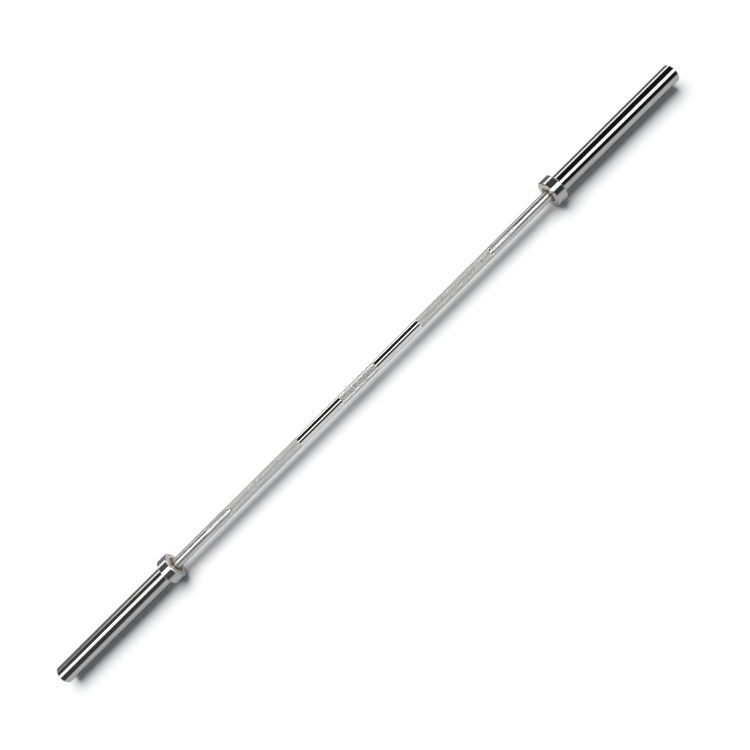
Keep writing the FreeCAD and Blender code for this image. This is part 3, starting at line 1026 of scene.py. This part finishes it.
# Pale front, and a faint light low at the back
FRONT_EDGE = math.radians(-87)
FRONT_MIDDLE_EDGE = math.radians(-66)
FRONT_LEVEL = 0.6
BACK_START = math.radians(66)
BACK_FULL = math.radians(74)
BACK_LEVEL = 0.18

# Room, lighter on the left, and a light towards each end that fades again in line with the bar
ROOM_DIM = -0.10
ROOM_FULL = -0.42
ROOM_LEFT = 0.075
ROOM_RIGHT = 0.015
END_START = 0.70
END_FULL = 0.86
END_FADE = 0.91
END_GONE = 0.96
END_LEVEL = 1.3


def key_light():
    """A broad soft light from above and behind, which throws the shadow towards the camera."""
    lamp = bpy.data.lights.new("key_light", "SUN")
    lamp.energy = KEY_STRENGTH
    lamp.angle = KEY_SPREAD
    key = bpy.data.objects.new("key_light", lamp)
    key.rotation_euler.x = -KEY_TILT
    key.visible_glossy = False
    bpy.context.scene.collection.objects.link(key)


def soft_edge(tree, inside):
    """1 inside an edge, 0 outside it and a soft change between, from the angle inside the edge."""
    return rescale(tree, inside, -SOFT_EDGE / 2, SOFT_EDGE / 2)


def soft_band(tree, around, along, centre, half, skew):
    """1 inside a band of angles that is skewed along the bar, 0 outside it, with a soft edge."""
    angle = calculate(tree, "MULTIPLY_ADD", along, skew, around)
    away = calculate(tree, "ABSOLUTE", calculate(tree, "SUBTRACT", angle, centre))
    return soft_edge(tree, calculate(tree, "SUBTRACT", half, away))


def studio_world():
    """The studio that the metal mirrors: a dim room, a long soft box over the camera that is narrower at
    the bar's middle, a strip behind, and a pale front that stands higher before the middle."""
    world = bpy.data.worlds.new("studio")
    bpy.context.scene.world = world
    world.use_nodes = True
    tree = world.node_tree
    direction = add_node(tree, "ShaderNodeTexCoord", {}).outputs["Generated"]
    parts = add_node(tree, "ShaderNodeSeparateXYZ", {0: direction}).outputs
    along = parts["X"]
    around = calculate(tree, "ARCTAN2", parts["Y"], parts["Z"])
    off_middle = calculate(tree, "ABSOLUTE", calculate(tree, "SUBTRACT", along, MIDDLE))

    def varied(middle, ends, reach=LIGHTS_REACH):
        """A value that differs between the bar's middle and its ends."""
        return rescale(tree, off_middle, MIDDLE_HALF, reach, middle, ends)

    box = soft_band(tree, around, along, BOX_CENTRE, varied(BOX_MIDDLE_HALF, BOX_HALF), BOX_SKEW)
    strip_centre = varied(STRIP_MIDDLE_CENTRE, STRIP_CENTRE)
    strip = soft_band(tree, around, along, strip_centre, STRIP_HALF, STRIP_SKEW)
    strip_fade = rescale(tree, along, STRIP_DIM, STRIP_FULL, STRIP_LEFT, 1.0)
    front_edge = varied(FRONT_MIDDLE_EDGE, FRONT_EDGE, FRONT_REACH)
    below_edge = calculate(tree, "SUBTRACT", front_edge, around)
    towards_end = calculate(tree, "ABSOLUTE", along)
    end_start = rescale(tree, towards_end, END_START, END_FULL)
    end_fade = rescale(tree, towards_end, END_GONE, END_FADE)
    lights = (
        (box, varied(BOX_MIDDLE_LEVEL, BOX_LEVEL)),
        (calculate(tree, "MULTIPLY", strip, strip_fade), STRIP_LEVEL),
        (soft_edge(tree, below_edge), FRONT_LEVEL),
        (rescale(tree, around, BACK_START, BACK_FULL), BACK_LEVEL),
        (calculate(tree, "MULTIPLY", end_start, end_fade), END_LEVEL),
    )
    studio = rescale(tree, along, ROOM_FULL, ROOM_DIM, ROOM_LEFT, ROOM_RIGHT)
    for mask, level in lights:
        studio = calculate(tree, "MULTIPLY_ADD", mask, level, studio)
    rays = add_node(tree, "ShaderNodeLightPath", {}).outputs
    mirrored_rays = calculate(tree, "MAXIMUM", rays["Is Glossy Ray"], rays["Is Transmission Ray"])
    seen = tint(tree, mirrored_rays, AMBIENT, studio)
    colour = tint(tree, rays["Is Camera Ray"], seen, BACKDROP)
    feed(tree, tree.nodes["Background"].inputs["Color"], colour)


key_light()
studio_world()

# Camera, fitted to the photograph: its place, the slope of the bar in the picture, and its lens

PICTURE = 750
SENSOR_WIDTH = 36.0
CAMERA_DISTANCE = 1.90
CAMERA_STATION = 0.090
CAMERA_ELEVATION = math.radians(58)
CAMERA_TURN = math.radians(-3.10)
BAR_SLOPE = math.radians(44.75)
FOCAL_PIXELS = 762.5
LENS_AXIS_PIXEL = (355.0, 386.7)


def camera():
    """The camera, in front of the bar and above it, rolled so that the bar runs up to the right."""
    along = Vector((1, 0, 0))
    outward = Vector((0, -math.cos(CAMERA_ELEVATION), math.sin(CAMERA_ELEVATION)))
    back = outward * math.cos(CAMERA_TURN) - along * math.sin(CAMERA_TURN)
    level = (along - back * back.dot(along)).normalized()
    upward = back.cross(level)
    right = level * math.cos(BAR_SLOPE) - upward * math.sin(BAR_SLOPE)
    up = level * math.sin(BAR_SLOPE) + upward * math.cos(BAR_SLOPE)
    lens = bpy.data.cameras.new("camera")
    lens.sensor_width = SENSOR_WIDTH
    lens.lens = SENSOR_WIDTH * FOCAL_PIXELS / PICTURE
    lens.shift_x = 0.5 - LENS_AXIS_PIXEL[0] / PICTURE
    lens.shift_y = LENS_AXIS_PIXEL[1] / PICTURE - 0.5
    eye = bpy.data.objects.new("camera", lens)
    turned = Matrix((right, up, back)).transposed().to_4x4()
    eye.matrix_world = Matrix.Translation(along * CAMERA_STATION + outward * CAMERA_DISTANCE) @ turned
    bpy.context.scene.collection.objects.link(eye)
    bpy.context.scene.camera = eye


camera()
bpy.context.scene.view_settings.view_transform = "Standard"
